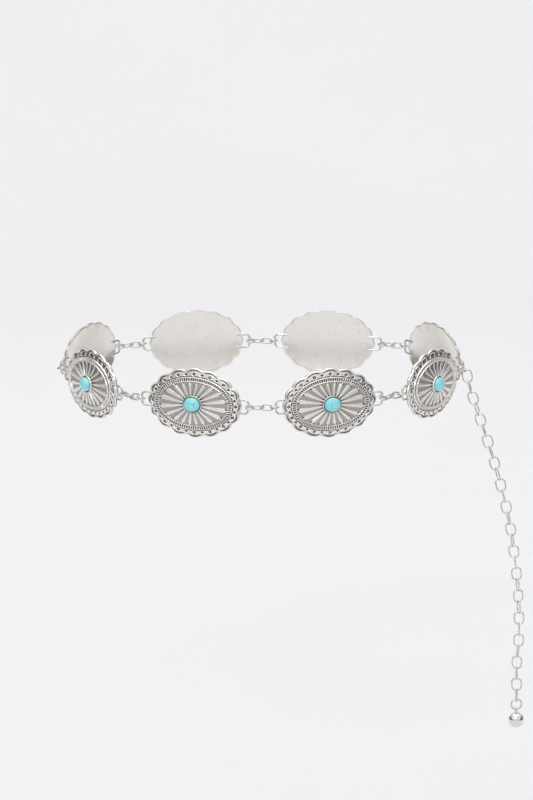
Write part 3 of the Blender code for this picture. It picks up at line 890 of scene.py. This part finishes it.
def chain_roll(k):
    return math.pi / 2 * (k % 2) + CHAIN_TWIST * math.sin(CHAIN_TWIST_STEP * k)


def shown(piece, slot, *nodes):
    """Hand a finished piece to the frame: it rides the belt's body and stands for its nodes."""
    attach(piece, "root")
    if nodes:
        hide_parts(*nodes)


def build_conchos(seats, silver, bright, stone_finish):
    first = seats[0]
    concho = concho_mesh(first, silver)
    stone = stone_mesh(Relief(first.half_length / MM, first.half_height / MM), stone_finish)
    loops = end_loops_mesh(first, bright)
    for number, seat in enumerate(seats, 1):
        shown(placed(f"concho_plate_{number}", concho, seat.matrix), "oxidised_silver", f"concho_{number}")
        shown(placed(f"cabochon_{number}", stone, seat.matrix), "turquoise", f"stone_{number}")
        shown(placed(f"end_loops_{number}", loops, seat.matrix), "bright_silver")


def build_connectors(seats, bright):
    ring_size = RING_INNER + RING_WIRE
    link_length = LINK_INNER_LENGTH + LINK_WIRE
    ring = wire_mesh("ring_looks", circle(ring_size, ring_size / 2), RING_WIRE, bright)
    link = wire_mesh("link_looks", stadium(link_length, LINK_INNER_WIDTH + LINK_WIRE), LINK_WIRE, bright)
    ring_near = -held_gap(END_LOOP_WIRE, RING_WIRE)
    link_near = ring_near + ring_size - held_gap(RING_WIRE, LINK_WIRE)
    for number, (here, there) in enumerate(zip(seats, seats[1:]), 1):
        start, end = here.bar(-1), there.bar(1)
        way = (end - start).normalized()
        for letter, origin, direction in (("a", start, way), ("b", end, -way)):
            for kind, mesh, near, roll in (("ring", ring, ring_near, RING_ROLL),
                                           ("link", link, link_near, LINK_ROLL)):
                node = f"{kind}_{number}{letter}"
                piece = placed(f"round_{node}", mesh, along_way(origin, direction, near, roll))
                shown(piece, "bright_silver", node)


def build_closure(seats, bright, mirror):
    start, end = seats[0].bar(1), seats[-1].bar(-1)
    span = (end - start).length / MM
    way = (end - start).normalized()
    ring_size = RING_INNER + RING_WIRE
    ring_near = -held_gap(END_LOOP_WIRE, RING_WIRE)
    ring = wire_mesh("clasp_ring_looks", circle(ring_size, ring_size / 2), RING_WIRE, bright)
    ring_place = along_way(start, way, ring_near, CLASP_RING_ROLL)
    shown(placed("round_clasp_ring", ring, ring_place), "bright_silver", "clasp_ring")

    chain_length = CHAIN_INNER_LENGTH + CHAIN_WIRE
    chain_width = CHAIN_INNER_WIDTH + CHAIN_WIRE
    catch_near = span + held_gap(END_LOOP_WIRE, CHAIN_WIRE) - chain_length
    hook_near = ring_near + ring_size - held_gap(RING_WIRE, HOOK_WIRE)
    hook_far = catch_near + held_gap(HOOK_WIRE, CHAIN_WIRE)
    hook_parts = tube(hook_path(hook_far - hook_near), HOOK_WIRE, UP, closed=False)
    verts, faces = scaled(hook_parts)
    hook = mesh_object("wire_hook", verts, faces, bright, along_way(start, way, hook_near, HOOK_ROLL))
    shown(hook, "bright_silver", "hook_clasp")

    catch = along_way(start, way, catch_near, CATCH_LINK_ROLL)
    sides = [catch @ (Vector((chain_length / 2, y, 0)) * MM) for y in (-chain_width / 2, chain_width / 2)]
    lower_side = min(sides, key=lambda point: point.z)
    hang = lower_side + UP * (CHAIN_WIRE - CHAIN_FUSE) * MM
    route = [hang + Vector((out, back, -down)) * MM for out, back, down in CHAIN_ROUTE]
    pitch = (chain_length - CHAIN_WIRE + CHAIN_FUSE) * MM
    joints = walk(smooth_route(route), pitch, CHAIN_LINKS + 1)
    frames = [catch]
    for k, (near, far) in enumerate(zip(joints, joints[1:])):
        frames.append(hanging_frame(near, (far - near).normalized(), chain_roll(k)))
    stretch = CHAIN_FUSE / 2
    path = [point - Vector((stretch, 0, 0)) for point in stadium(chain_length + 2 * stretch, chain_width)]
    one_link = scaled(tube(path, CHAIN_WIRE, UP))
    verts, faces = joined([moved(one_link, place) for place in frames])
    chain = mesh_object("oval_link_chain", verts, faces, bright)
    shown(chain, "bright_silver", "extender_chain")

    last_near, last_way = joints[-2], (joints[-1] - joints[-2]).normalized()
    end_size = END_RING_INNER + END_RING_WIRE
    end_near = last_near + last_way * (chain_length - held_gap(CHAIN_WIRE, END_RING_WIRE)) * MM
    end_mesh = wire_mesh("end_ring_looks", circle(end_size, end_size / 2), END_RING_WIRE, bright)
    end_place = hanging_frame(end_near, last_way, chain_roll(CHAIN_LINKS))
    shown(placed("round_end_ring", end_mesh, end_place), "bright_silver", "end_ring")
    ball_near = end_near + last_way * (end_size - held_gap(END_RING_WIRE, BAIL_WIRE)) * MM
    ball_place = hanging_frame(ball_near, last_way, chain_roll(CHAIN_LINKS + 1))
    build_ball(ball_place, mirror)


def build_ball(place, mirror):
    """The ball with its bail, hung from the bail's top wire."""
    bail = BAIL_INNER + BAIL_WIRE
    reach = bail + BALL_DIAMETER / 2 - BAIL_WIRE / 4
    radius = BALL_DIAMETER / 2
    steps = 48
    profile = []
    for k in range(1, 32):
        angle = math.pi * k / 32
        profile.append((reach - radius * math.cos(angle), radius * math.sin(angle)))
    verts = []
    faces = []
    for x, across in profile:
        for j in range(steps):
            angle = FULL_TURN * j / steps
            verts.append(Vector((x, across * math.cos(angle), across * math.sin(angle))))
    for k in range(len(profile) - 1):
        faces.extend(band_faces(k * steps, steps, (k + 1) * steps, steps))
    verts.append(Vector((reach - radius, 0, 0)))
    verts.append(Vector((reach + radius, 0, 0)))
    faces.extend(fan_faces(0, steps, len(verts) - 2, True))
    faces.extend(fan_faces((len(profile) - 1) * steps, steps, len(verts) - 1, False))
    bail_parts = tube(circle(bail, bail / 2), BAIL_WIRE, UP)
    verts, faces = scaled(joined([(verts, faces), bail_parts]))
    ball = mesh_object("polished_ball", verts, faces, mirror, place)
    shown(ball, "bright_silver", "ball_drop")


# Studio


def build_sweep():
    """A pale paper sweep: floor, round corner and back wall in one sheet."""
    paper = studio_paper()
    profile = [(SWEEP_FRONT, 0.0), (SWEEP_FLAT_END, 0.0)]
    for k in range(1, 17):
        angle = math.pi / 2 * k / 16
        y = SWEEP_FLAT_END + SWEEP_CORNER * math.sin(angle)
        profile.append((y, SWEEP_CORNER - SWEEP_CORNER * math.cos(angle)))
    profile.append((SWEEP_FLAT_END + SWEEP_CORNER, SWEEP_TOP))
    verts = []
    faces = []
    for y, z in profile:
        verts += [(side * SWEEP_HALF_WIDTH, y, FLOOR_LEVEL + z) for side in (-1, 1)]
    for k in range(len(profile) - 1):
        faces.append((2 * k, 2 * k + 1, 2 * k + 3, 2 * k + 2))
    sweep = mesh_object("paper_sweep", verts, faces, paper, sharp=60)


def build_lights():
    for name, place, target, size, power in LIGHTS:
        data = bpy.data.lights.new(name, "AREA")
        data.shape = "SQUARE"
        data.size = size
        data.energy = power
        light = bpy.data.objects.new(name, data)
        light.location = place
        aim = Vector(target) - Vector(place)
        light.rotation_euler = aim.to_track_quat("-Z", "Y").to_euler()
        bpy.context.scene.collection.objects.link(light)


def build_world():
    """Bright towards the front and above, dark at the sides and behind."""
    world = bpy.data.worlds.new("studio")
    bpy.context.scene.world = world
    world.use_nodes = True
    tree = world.node_tree
    direction = add_node(tree, "ShaderNodeTexCoord").outputs["Generated"]
    way = add_node(tree, "ShaderNodeSeparateXYZ", {0: direction})
    forward = math_node(tree, "MULTIPLY", way.outputs["Y"], -1.0)
    around = remap(tree, forward, 0.42, 0.74, 0.08, 0.80)
    above = remap(tree, way.outputs["Z"], 0.15, 0.7)
    colour = mix_colour(tree, above, around, (0.90, 0.90, 0.91, 1))
    background = tree.nodes["Background"]
    tree.links.new(colour, background.inputs["Color"])
    background.inputs["Strength"].default_value = 1.0


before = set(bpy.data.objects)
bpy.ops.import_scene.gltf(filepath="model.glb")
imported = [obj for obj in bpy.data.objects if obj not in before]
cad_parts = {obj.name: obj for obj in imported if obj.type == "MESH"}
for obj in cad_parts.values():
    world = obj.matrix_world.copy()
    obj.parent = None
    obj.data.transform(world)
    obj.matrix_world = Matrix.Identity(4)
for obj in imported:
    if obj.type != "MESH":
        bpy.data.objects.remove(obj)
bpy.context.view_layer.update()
bpy.context.scene.view_settings.view_transform = "Standard"
add_camera()
silver_finish = antique_silver()
bright_finish = bright_silver()
belt_seats = [ConchoSeat(number) for number in range(1, CONCHO_COUNT + 1)]
build_conchos(belt_seats, silver_finish, bright_finish, turquoise())
build_connectors(belt_seats, bright_finish)
build_closure(belt_seats, bright_finish, polished_ball())
build_sweep()
build_lights()
build_world()
